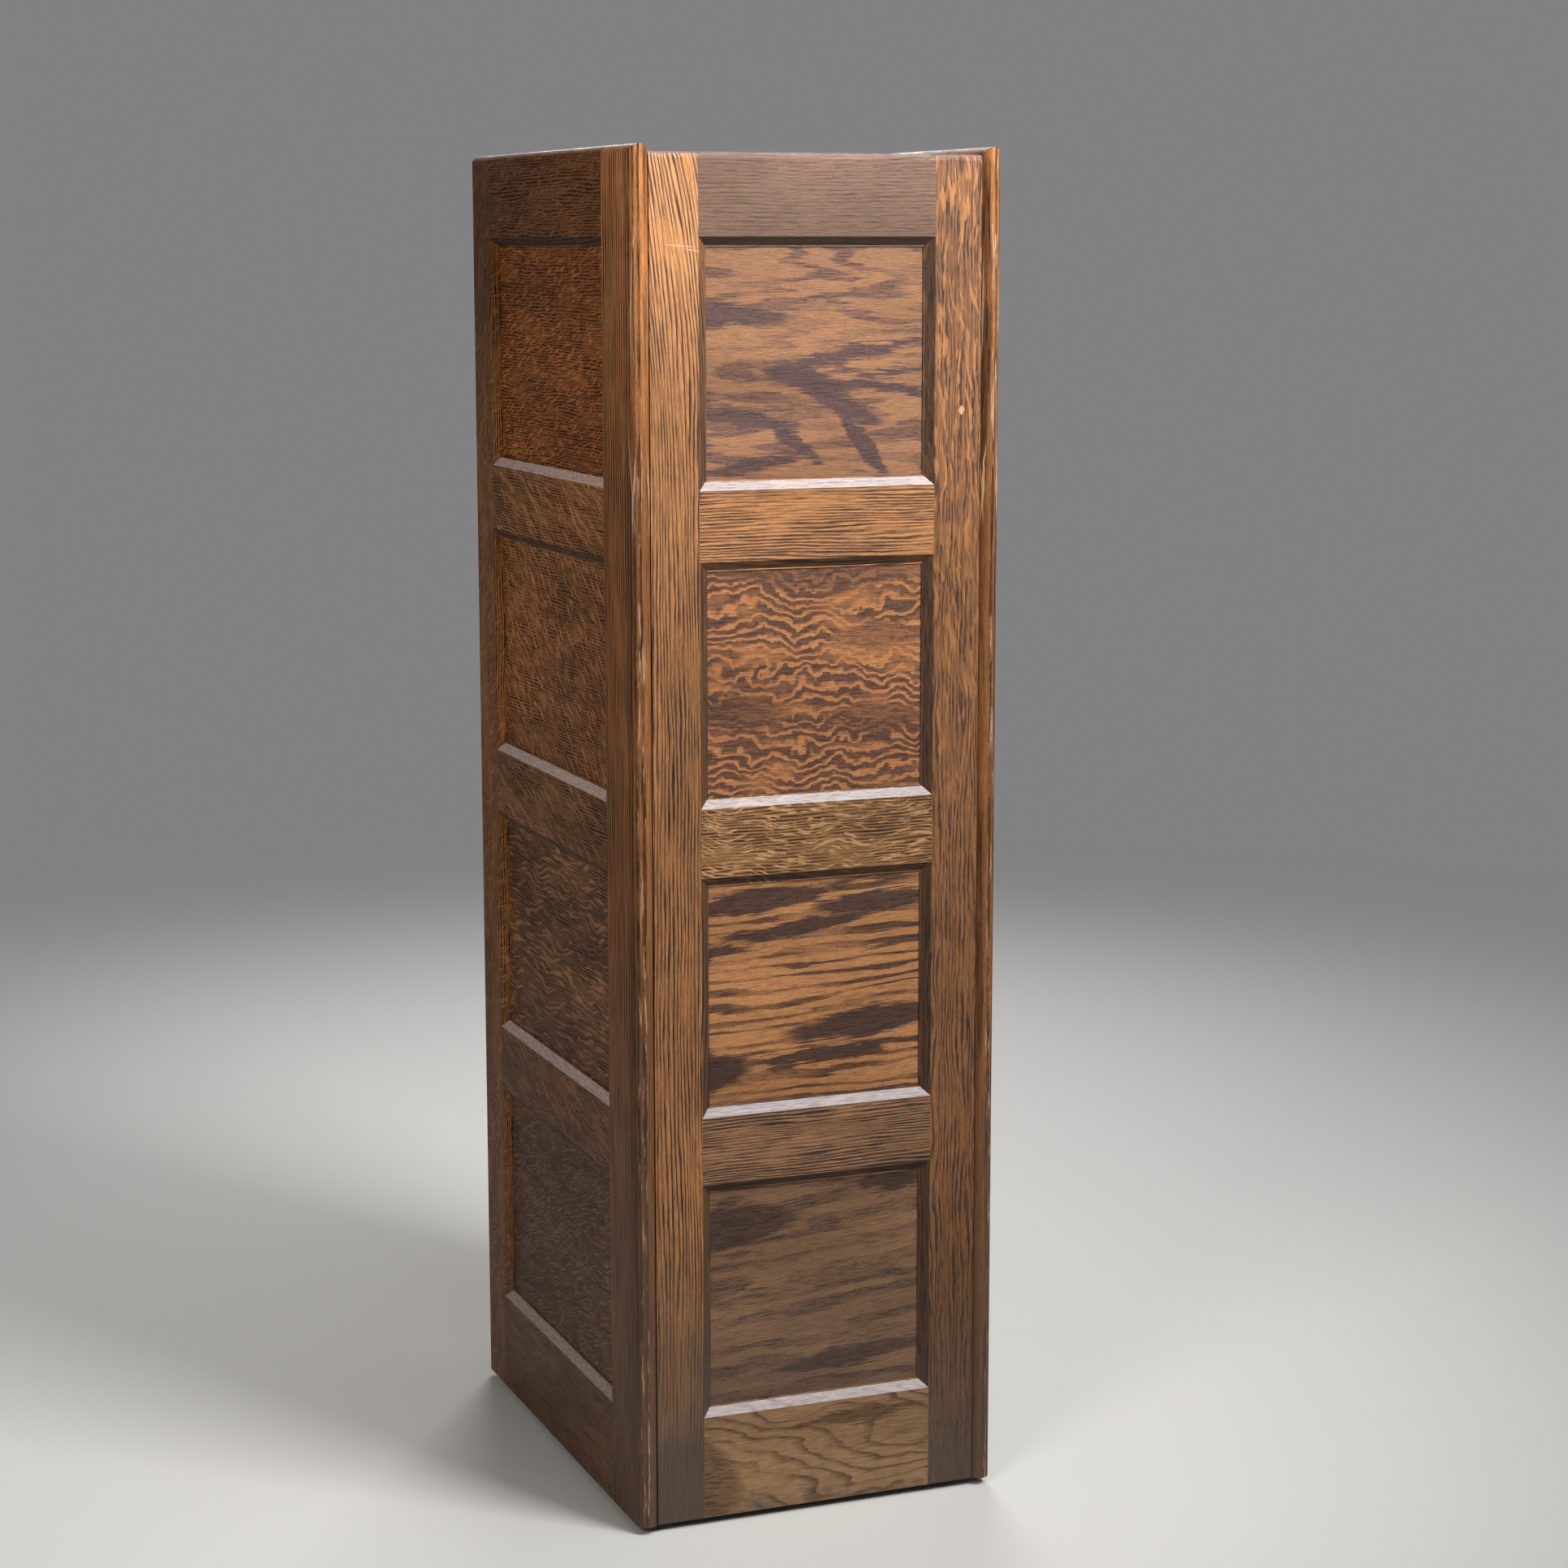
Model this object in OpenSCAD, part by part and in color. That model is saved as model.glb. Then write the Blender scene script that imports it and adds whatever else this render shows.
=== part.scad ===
// Barrister bookcase: a tall, narrow, one-piece oak case with framed and panelled
// sides and back, and four glazed doors that lift out and slide back over the books.
// The doors face -Y, the panelled back faces +Y, and the case stands on z = 0.

/* [Case] */
// Width over the two sides
case_w = 375; // [340:1:440]
// Depth of a side, from its front edge to its back edge
case_d = 510; // [490:1:600]
// Height of a side, without the glides
case_h = 1321; // [1280:1:1400]
// Thickness of the sides
side_t = 20; // [19:0.5:22]
// Gap under the case, which is the height of the glides
foot = 8; // [6:1:14]

/* [Framed walls] */
// Face width of a side's back stile, edge to arris
side_back_stile = 82; // [60:1:95]
// Face width of a side's front stile, edge to arris
side_front_stile = 68; // [60:1:90]
// Face width of the back frame's two stiles
back_stile = 48; // [40:1:60]
// Height of the bottom rails
bottom_rail = 102; // [98:1:120]
// Face height of the rails between two panels
mid_rail = 66.5; // [60:0.5:80]
// Height of the back frame's top rail
top_rail = 76.5; // [70:0.5:90]
// Thickness of the back frame
back_t = 20; // [18:0.5:22]
// How far the back stands inside the sides' back edges
back_inset = 4.5; // [3:0.5:8]
// How far the back and the top lie below the top of the sides
top_drop = 7; // [5:0.5:10]
// Radius on the top edges of the back and the top board
top_round = 6; // [3:0.5:8]

/* [Moulding and panels] */
// Width of the bevel worked on the frames' inner edges
bevel_w = 9.4; // [7:0.1:11]
// Depth of that bevel, down to the panel
bevel_d = 8; // [6:0.1:9]
// Width and depth of the small fillet between bevel and panel
fillet = 1.3; // [0.8:0.1:2]
// Width of the panel groove
groove_w = 6.4; // [5:0.1:7]
// Depth of the panel groove
groove_d = 8; // [6:0.1:9]

/* [Shelves] */
// Thickness of the shelves, the base board and the top board
board_t = 19; // [17:0.5:21]
// Depth of the housings that hold the boards in the sides
housing = 5; // [3:0.5:6]
// Distance from the front edge at which the housings stop
housing_stop = 30; // [26:1:50]
// How far the doors and shelves stand inside the sides' front edges
face_set = 4.5; // [4:0.5:8]

/* [Doors] */
// Thickness of a door, which also rounds its top edge
door_t = 20; // [18:0.5:22]
// Gap above and below a door
door_gap = 2; // [1.5:0.5:3]
// Gap between a door and each side
door_side_gap = 3; // [2.8:0.1:4]
// Face width of a door's stiles and top rail
door_stile = 32; // [26:1:40]
// Face height of a door's bottom rail
door_bottom_rail = 38; // [34:1:46]
// Width and depth of the bevel on a door's inner edges
door_bevel = 6; // [4:0.5:8]
// Width of the rebate that holds the glass
rebate_w = 7; // [5:0.5:8]
// Thickness of the glass
glass_t = 3; // [2.5:0.5:4]
// Distance of the knobs from the middle of a door
knob_x = 96; // [60:1:120]
// Projection of a knob
knob_l = 25; // [20:1:30]
// Radius of a knob's ball
knob_r = 10.5; // [8:0.5:12]

/* [Door pivots] */
// Radius of the steel pivot rod
rod_r = 3; // [2.5:0.5:3]
// Radius of the brass shoe that runs in the side's groove
shoe_r = 4; // [3.8:0.1:5]
// Radius of the shoe's flange beside the door
flange_r = 7; // [6:0.5:8]
// Depth of the runner grooves
runner_d = 6; // [5:0.5:8]

/* [Hidden] */
$fn = 48;
eps = 0.01;
tiers = 4;
running_gap = 0.05;   // radial clearance of the rod in the door
runner_gap = 0.2;     // clearance round a shoe in its groove
panel_gap = 0.8;      // room for a panel to swell in its groove
tongue_gap = 0.5;     // a rail's tongue ends short of the groove
stop_gap = 2;         // knobs stop this far in front of a shelf
shoe_end_gap = 0.4;   // between a shoe's end and the bottom of its groove
shoe_cap = 2;         // closed end of a shoe, past the rod
flange_play = 0.45;   // between a shoe's flange and the door, and the side
pane_gap = 0.75;      // round the glass in its rebate
bead_gap = 0.1;       // between two beads at a corner
bead_chamfer = 2.5;
panel_play = 0.1;     // in front of and behind a panel in its groove
rebate_d = door_t / 2;
knob_z = door_bottom_rail / 2;
stud_r = 2;
stud_l = 12;
base_t = 20;
block_w = 40;
cleat_w = 20;
cleat_h = 25;
screw_r = 2.2;
screw_head_r = 4.4;
screw_head_h = 2.4;
screw_l = 32;
screw_inset = 40;     // the end screws stand this far inside a cleat's ends
screws = 3;           // in each cleat
glide_r = 11;
glide_foot_r = 7;
glide_shank = 16;
neck_r = 4;
rose_r = 9;
rose_h = 2.5;
rose_step = 1;
ball_set = 8;         // from a knob's front to its ball's centre
ball_cut = 3.5;       // the ball is cut off this far from its back

inner_w = case_w - 2 * side_t;
overhang = knob_l - face_set;            // knobs stand this far past the sides
y_mid = overhang / 2;                    // puts the origin under the middle of it all
y_front = y_mid - case_d / 2;
y_back = y_mid + case_d / 2;
y_face = y_front + face_set;             // plane of the doors and the shelf fronts
y_wall = y_back - back_inset;            // plane of the back's outer face
y_inside = y_wall - back_t;              // back of the shelves

wall_h = case_h - top_drop;              // height of the back frame
opening = (wall_h - bottom_rail - top_rail - (tiers - 1) * mid_rail) / tiers;
pitch = opening + mid_rail;
clear_h = pitch - board_t;
door_h = clear_h - 2 * door_gap;
door_w = inner_w - 2 * door_side_gap;
pivot_z = door_h - door_t / 2;           // pivot above the door's bottom edge
pivot_y = y_face + door_t / 2;
travel = pivot_z - knob_z - knob_r - door_t / 2 - stop_gap;

function board_z(k) = foot + bottom_rail - mid_rail / 2 - board_t / 2 + k * pitch;
function door_z(k) = board_z(k) + board_t + door_gap;

// ---- shared shapes ----
// A framed wall is drawn with x along it, z up and its outer face at y = 0.
// Its members meet on an edge curve of [across, depth] points, from the face arris
// to the inner face: a stile lies on one side of the curve, a coped rail end on the other.

function wall_edge(reach, thick) = [
    [0, 0],
    [bevel_w - fillet, fillet - bevel_d],
    [bevel_w, fillet - bevel_d],
    [bevel_w, -bevel_d],
    [bevel_w - reach, -bevel_d],
    [bevel_w - reach, -bevel_d - groove_w],
    [bevel_w, -bevel_d - groove_w],
    [bevel_w, -thick]];

door_edge = [
    [0, 0],
    [door_bevel, -door_bevel],
    [door_bevel, rebate_d - door_t],
    [door_bevel - rebate_w, rebate_d - door_t],
    [door_bevel - rebate_w, -door_t]];

function reversed(points) = [for (i = [len(points) - 1 : -1 : 0]) points[i]];

// Extrudes a [y, z] outline along X
module along_x(x0, x1) {
    translate([x0, 0, 0])
        rotate([90, 0, 90])
            linear_extrude(x1 - x0)
                children();
}

// Outline of a board on edge, [y, z], with its top edges rounded
module round_top(height, thick, r) {
    translate([-thick, 0])
        square([thick, height - r]);
    if (thick > 2 * r)
        translate([r - thick, 0])
            square([thick - 2 * r, height]);
    for (y = [-r, r - thick])
        translate([y, height - r])
            circle(r);
}

// Stile from x = 0 to its edge curve; nose rounds its outer edge to a half circle
module stile(face, thick, height, edge, nose = false) {
    start = nose ? thick / 2 : 0;
    curve = [for (p = edge) [face + p[0], p[1]]];
    union() {
        linear_extrude(height)
            polygon(concat([[start, 0]], curve, [[start, -thick]]));
        if (nose)
            translate([thick / 2, -thick / 2, 0])
                cylinder(h = height, r = thick / 2);
    }
}

// Rail from arris x0 to arris x1, face from z0 to z1, coped to the stiles at both ends
module rail(x0, x1, z0, z1, thick, edge, cope, low = true, high = true) {
    bottom = [for (p = edge) [p[1], low ? z0 - p[0] : z0]];
    top = [for (p = edge) [p[1], high ? z1 + p[0] : z1]];
    ends = concat([for (p = cope) [x0 + p[0], p[1]]],
        reversed([for (p = cope) [x1 - p[0], p[1]]]));
    intersection() {
        along_x(x0 - thick, x1 + thick)
            polygon(concat(bottom, reversed(top)));
        translate([0, 0, z0 - thick])
            linear_extrude(z1 - z0 + 2 * thick)
                polygon(ends);
    }
}

// One flat panel that floats in the grooves round the opening x0..x1, z0..z1
module panel(x0, x1, z0, z1) {
    grow = groove_d - panel_gap - bevel_w;
    translate([x0 - grow, panel_play - bevel_d - groove_w, z0 - grow])
        cube([x1 - x0 + 2 * grow, groove_w - 2 * panel_play, z1 - z0 + 2 * grow]);
}

function rail_z(k) = foot + bottom_rail + k * pitch - mid_rail;   // k = 1..3
function opening_z(k) = foot + bottom_rail + k * pitch;           // k = 0..3

// ---- sides ----
side_x0 = side_back_stile - case_d / 2;
side_x1 = case_d / 2 - side_front_stile;
side_edge = wall_edge(groove_d, side_t);

// Places a side wall, with its outer face at +X
module at_right() {
    translate([case_w / 2, y_mid, 0])
        rotate([0, 0, -90])
            children();
}

// Housings for the boards, and the runner grooves, in the right side's inner face
module side_cuts() {
    inner = inner_w / 2;
    for (k = [0 : tiers])
        translate([inner - eps, y_front + housing_stop, k < tiers ? board_z(k) : foot + wall_h - board_t])
            cube([housing + eps, y_inside - y_front - housing_stop, board_t]);
    r = shoe_r + runner_gap;
    for (k = [0 : tiers - 1])
        translate([inner - eps, pivot_y, door_z(k) + pivot_z]) {
            for (y = [0, travel])
                translate([0, y, 0])
                    rotate([0, 90, 0])
                        cylinder(h = runner_d + eps, r = r);
            translate([0, 0, -r])
                cube([runner_d + eps, travel, 2 * r]);
        }
    right_screws();
}

module side_top() {
    along_x(-case_d, case_d)
        translate([0, foot])
            round_top(case_h, side_t, side_t / 2);
}

module side_front_stile() {
    difference() {
        at_right()
            intersection() {
                translate([case_d / 2, 0, foot])
                    mirror([1, 0, 0])
                        stile(side_front_stile, side_t, case_h, side_edge, true);
                side_top();
            }
        side_cuts();
    }
}

module side_back_stile() {
    difference() {
        at_right()
            intersection() {
                translate([-case_d / 2, 0, foot])
                    stile(side_back_stile, side_t, case_h, side_edge, true);
                side_top();
            }
        side_cuts();
    }
}

module side_rail(z0, z1, low, high) {
    rail(side_x0, side_x1, z0, z1, side_t, side_edge,
        wall_edge(groove_d - tongue_gap, side_t), low, high);
}

module side_top_rail() {
    difference() {
        at_right()
            intersection() {
                side_rail(opening_z(tiers - 1) + opening, foot + case_h, true, false);
                side_top();
            }
        side_cuts();
    }
}

module side_mid_rails() {
    difference() {
        at_right()
            for (k = [1 : tiers - 1])
                side_rail(rail_z(k), rail_z(k) + mid_rail, true, true);
        side_cuts();
    }
}

module side_bottom_rail() {
    difference() {
        at_right()
            side_rail(foot, foot + bottom_rail, false, true);
        side_cuts();
    }
}

module side_panels() {
    at_right()
        for (k = [0 : tiers - 1])
            panel(side_x0, side_x1, opening_z(k), opening_z(k) + opening);
}

module right_front_stile() { color("saddlebrown") side_front_stile(); }
module right_back_stile() { color("saddlebrown") side_back_stile(); }
module right_top_rail() { color("sienna") side_top_rail(); }
module right_mid_rails() { color("sienna") side_mid_rails(); }
module right_bottom_rail() { color("sienna") side_bottom_rail(); }
module right_panels() { color("#6e4526") side_panels(); }

module at_left() { mirror([1, 0, 0]) children(); }
module left_front_stile() { color("saddlebrown") at_left() side_front_stile(); }
module left_back_stile() { color("saddlebrown") at_left() side_back_stile(); }
module left_top_rail() { color("sienna") at_left() side_top_rail(); }
module left_mid_rails() { color("sienna") at_left() side_mid_rails(); }
module left_bottom_rail() { color("sienna") at_left() side_bottom_rail(); }
module left_panels() { color("#6e4526") at_left() side_panels(); }

// ---- back ----
back_x = inner_w / 2 - back_stile;
back_edge = wall_edge(groove_d, back_t);

module at_back() { translate([0, y_wall, 0]) children(); }

module back_top() {
    along_x(-case_w, case_w)
        translate([0, foot])
            round_top(wall_h, back_t, top_round);
}

module one_back_stile() {
    intersection() {
        translate([-inner_w / 2, 0, foot])
            stile(back_stile, back_t, wall_h, back_edge);
        back_top();
    }
}

module back_rail(z0, z1, low, high) {
    rail(-back_x, back_x, z0, z1, back_t, back_edge,
        wall_edge(groove_d - tongue_gap, back_t), low, high);
}

module back_left_stile() { color("peru") at_back() one_back_stile(); }

module back_right_stile() { color("peru") at_back() mirror([1, 0, 0]) one_back_stile(); }

module back_top_rail() {
    color("sienna")
        at_back()
            intersection() {
                back_rail(foot + wall_h - top_rail, foot + wall_h, true, false);
                back_top();
            }
}

module back_mid_rails() {
    color("sienna")
        at_back()
            for (k = [1 : tiers - 1])
                back_rail(rail_z(k), rail_z(k) + mid_rail, true, true);
}

module back_bottom_rail() {
    color("sienna")
        at_back()
            back_rail(foot, foot + bottom_rail, false, true);
}

module back_panels() {
    color("#7d4f2c")
        at_back()
            for (k = [0 : tiers - 1])
                panel(-back_x, back_x, opening_z(k), opening_z(k) + opening);
}

// ---- boards ----
// Board between the sides, with shoulders that stop short of its front edge
module board(z) {
    translate([-inner_w / 2, y_face, z])
        cube([inner_w, y_inside - y_face, board_t]);
    translate([-inner_w / 2 - housing, y_front + housing_stop, z])
        cube([inner_w + 2 * housing, y_inside - y_front - housing_stop, board_t]);
}

module shelf(k) { color("#74502f") board(board_z(k)); }
module base_board() { shelf(0); }
module shelf_1() { shelf(1); }
module shelf_2() { shelf(2); }
module shelf_3() { shelf(3); }

module top_board() {
    z = foot + wall_h - board_t;
    depth = y_inside - y_face;
    color("sienna")
        intersection() {
            board(z);
            translate([0, y_face + 2 * depth, z - board_t])
                along_x(-case_w, case_w)
                    round_top(2 * board_t, 2 * depth, top_round);
        }
}

// Plain board across the front, between the sides
module front_rail(z0, z1) {
    translate([-inner_w / 2, y_face, z0])
        cube([inner_w, base_t, z1 - z0]);
}

module front_top_rail() {
    color("sienna") front_rail(board_z(tiers), foot + wall_h - board_t);
}

module front_base_rail() { color("sienna") front_rail(foot, board_z(0)); }

// ---- base ----
block_x = inner_w / 2 - block_w / 2;
block_y = [y_face + base_t + block_w / 2, y_inside - block_w / 2];
cleat_y0 = block_y[0] + block_w / 2;
cleat_y1 = block_y[1] - block_w / 2;
screw_pitch = (cleat_y1 - cleat_y0 - 2 * screw_inset) / (screws - 1);
screw_y = [for (i = [0 : screws - 1]) cleat_y0 + screw_inset + i * screw_pitch];
screw_z = board_z(0) - cleat_h / 2;

// Countersunk wood screw along +X, its head's face at x = 0
module wood_screw() {
    rotate([0, 90, 0]) {
        cylinder(h = screw_l, r = screw_r);
        cylinder(h = screw_head_h, r1 = screw_head_r, r2 = screw_r);
    }
}

module right_screws() {
    for (y = screw_y)
        translate([inner_w / 2 - cleat_w, y, screw_z])
            wood_screw();
}

module base_screws() {
    color("dimgray")
        for (s = [0, 1])
            mirror([s, 0, 0])
                right_screws();
}

module base_cleats() {
    color("burlywood")
        for (s = [0, 1])
            mirror([s, 0, 0])
                difference() {
                    translate([inner_w / 2 - cleat_w, cleat_y0, board_z(0) - cleat_h])
                        cube([cleat_w, cleat_y1 - cleat_y0, cleat_h]);
                    right_screws();
                }
}

// Domed steel glide, with its shank in the corner block above it
module glide() {
    dome = glide_r - glide_foot_r;
    rotate_extrude() {
        square([glide_foot_r, foot]);
        translate([0, dome])
            square([glide_r, foot - dome]);
        translate([glide_foot_r, dome])
            circle(dome);
    }
    cylinder(h = foot + glide_shank, r = stud_r);
}

module at_corners() {
    for (x = [-block_x, block_x], y = block_y)
        translate([x, y, 0])
            children();
}

module glides() { color("dimgray") at_corners() glide(); }

module corner_blocks() {
    color("burlywood")
        at_corners()
            difference() {
                translate([-block_w / 2, -block_w / 2, foot])
                    cube([block_w, block_w, board_z(0) - foot]);
                cylinder(h = foot + glide_shank, r = stud_r);
            }
}

// ---- doors ----
door_x = door_w / 2 - door_stile;        // stiles' inner arrises
glass_x = door_x - door_bevel + rebate_w;
glass_z0 = door_bottom_rail + door_bevel - rebate_w;
glass_z1 = door_h - door_stile - door_bevel + rebate_w;

// Places a door of tier k, drawn like a wall with its bottom edge at z = 0
module at_door(k) {
    translate([0, y_face, door_z(k - 1)])
        rotate([0, 0, 180])
            children();
}

module pivot_bore(r) {
    translate([-case_w / 2, -door_t / 2, pivot_z])
        rotate([0, 90, 0])
            cylinder(h = case_w, r = r);
}

module door_top() {
    along_x(-case_w, case_w)
        round_top(door_h, door_t, door_t / 2);
}

module door_stiles(k) {
    color("sienna")
        at_door(k)
            for (s = [0, 1])
                mirror([s, 0, 0])
                    difference() {
                        intersection() {
                            translate([-door_w / 2, 0, 0])
                                stile(door_stile, door_t, door_h, door_edge);
                            door_top();
                        }
                        pivot_bore(rod_r + running_gap);
                    }
}

module door_rail(z0, z1, low, high) {
    rail(-door_x, door_x, z0, z1, door_t, door_edge, door_edge, low, high);
}

module knob_studs() {
    for (x = [-knob_x, knob_x])
        translate([x, 0, knob_z])
            rotate([90, 0, 0])
                cylinder(h = stud_l, r = stud_r);
}

module door_rails(k) {
    color("sienna")
        at_door(k) {
            difference() {
                intersection() {
                    door_rail(door_h - door_stile, door_h, true, false);
                    door_top();
                }
                pivot_bore(rod_r + running_gap);
            }
            difference() {
                door_rail(0, door_bottom_rail, false, true);
                knob_studs();
            }
        }
}

module door_glass(k) {
    color("lightblue", 0.4)
        at_door(k)
            translate([pane_gap - glass_x, rebate_d - door_t - glass_t, glass_z0 + pane_gap])
                cube([2 * (glass_x - pane_gap), glass_t, glass_z1 - glass_z0 - 2 * pane_gap]);
}

// Glazing bead along X, its back at the rebate's wall, z = 0
module bead(x0, x1) {
    depth = door_t - rebate_d - glass_t;
    along_x(x0, x1)
        translate([-door_t, 0])
            polygon([[0, 0], [depth, 0], [depth, rebate_w], [bead_chamfer, rebate_w],
                [0, rebate_w - bead_chamfer]]);
}

module door_beads(k) {
    side_z0 = glass_z0 + rebate_w + bead_gap;
    side_z1 = glass_z1 - rebate_w - bead_gap;
    color("peru")
        at_door(k) {
            translate([0, 0, glass_z0])
                bead(-glass_x, glass_x);
            translate([0, 0, glass_z1])
                mirror([0, 0, 1])
                    bead(-glass_x, glass_x);
            for (s = [0, 1])
                mirror([s, 0, 0])
                    translate([-glass_x, 0, 0])
                        rotate([0, 90, 0])
                            mirror([1, 0, 0])
                                bead(side_z0, side_z1);
        }
}

// Knob: rose, neck and ball, with its stud in the rail
module knob() {
    ball_z = knob_l - ball_set;
    cut_z = ball_z - knob_r + ball_cut;
    rotate_extrude() {
        square([rose_r - rose_step, rose_h]);
        square([rose_r, rose_h - rose_step]);
        square([neck_r, ball_z]);
        intersection() {
            translate([0, ball_z])
                circle(knob_r);
            translate([0, cut_z])
                square([knob_r, knob_l - cut_z]);
        }
    }
    translate([0, 0, -stud_l])
        cylinder(h = stud_l + rose_h, r = stud_r);
}

module door_knobs(k) {
    color("gold")
        at_door(k)
            for (x = [-knob_x, knob_x])
                translate([x, 0, knob_z])
                    rotate([-90, 0, 0])
                        knob();
}

shoe_end = inner_w / 2 + runner_d - shoe_end_gap;
rod_end = shoe_end - shoe_cap;

module door_pivot_rod(k) {
    color("silver")
        at_door(k)
            translate([-rod_end, -door_t / 2, pivot_z])
                rotate([0, 90, 0])
                    cylinder(h = 2 * rod_end, r = rod_r);
}

module door_pivot_shoes(k) {
    flange_x = door_w / 2 + flange_play;
    flange_end = inner_w / 2 - flange_play;
    color("goldenrod")
        at_door(k)
            for (s = [0, 1])
                mirror([s, 0, 0])
                    translate([0, -door_t / 2, pivot_z])
                        rotate([0, 90, 0])
                            difference() {
                                union() {
                                    translate([0, 0, flange_x])
                                        cylinder(h = flange_end - flange_x, r = flange_r);
                                    translate([0, 0, flange_x])
                                        cylinder(h = shoe_end - flange_x, r = shoe_r);
                                }
                                cylinder(h = rod_end, r = rod_r);
                            }
}

right_front_stile();
right_back_stile();
right_top_rail();
right_mid_rails();
right_bottom_rail();
right_panels();
left_front_stile();
left_back_stile();
left_top_rail();
left_mid_rails();
left_bottom_rail();
left_panels();
back_left_stile();
back_right_stile();
back_top_rail();
back_mid_rails();
back_bottom_rail();
back_panels();
top_board();
shelf_1();
shelf_2();
shelf_3();
base_board();
front_top_rail();
front_base_rail();
corner_blocks();
base_cleats();
base_screws();
glides();
door_stiles(1);  // door_1_stiles
door_rails(1);  // door_1_rails
door_glass(1);  // door_1_glass
door_beads(1);  // door_1_beads
door_knobs(1);  // door_1_knobs
door_pivot_rod(1);  // door_1_pivot_rod
door_pivot_shoes(1);  // door_1_pivot_shoes
door_stiles(2);  // door_2_stiles
door_rails(2);  // door_2_rails
door_glass(2);  // door_2_glass
door_beads(2);  // door_2_beads
door_knobs(2);  // door_2_knobs
door_pivot_rod(2);  // door_2_pivot_rod
door_pivot_shoes(2);  // door_2_pivot_shoes
door_stiles(3);  // door_3_stiles
door_rails(3);  // door_3_rails
door_glass(3);  // door_3_glass
door_beads(3);  // door_3_beads
door_knobs(3);  // door_3_knobs
door_pivot_rod(3);  // door_3_pivot_rod
door_pivot_shoes(3);  // door_3_pivot_shoes
door_stiles(4);  // door_4_stiles
door_rails(4);  // door_4_rails
door_glass(4);  // door_4_glass
door_beads(4);  // door_4_beads
door_knobs(4);  // door_4_knobs
door_pivot_rod(4);  // door_4_pivot_rod
door_pivot_shoes(4);  // door_4_pivot_shoes
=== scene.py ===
"""A tall oak barrister bookcase, seen from behind, on a pale studio floor."""
import math

import bpy
from mathutils import Matrix, Vector

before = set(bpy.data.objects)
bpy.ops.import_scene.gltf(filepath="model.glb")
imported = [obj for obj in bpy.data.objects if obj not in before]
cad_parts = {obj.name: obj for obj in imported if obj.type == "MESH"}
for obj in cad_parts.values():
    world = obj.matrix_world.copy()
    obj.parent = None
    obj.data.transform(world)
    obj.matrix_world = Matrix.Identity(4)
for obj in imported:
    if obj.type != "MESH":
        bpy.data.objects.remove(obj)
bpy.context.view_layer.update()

MM = 0.001
TIERS = 4

# Tiers are counted up from one height and middle rails from the other, one to a pitch.
TIER_PITCH = 300.5 * MM
TIER_FOOT = 40 * MM
RAIL_FOOT = 200 * MM

ARRIS = 0.5 * MM
ARRIS_ANGLE = 40
NOT_WOOD = ("glass", "knobs", "shoes", "rod", "screws", "glides")


# ---------------------------------------------------------------- shader nodes
# A Mix node has sockets for numbers, for vectors and for colours. These are the colours' ones.
MIX_A = 6
MIX_B = 7
MIX_OUT = 2

# The distances from a lens's centre between which it fades out, where 1 is its outline.
LENS_EDGE = (0.75, 1.15)


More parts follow.
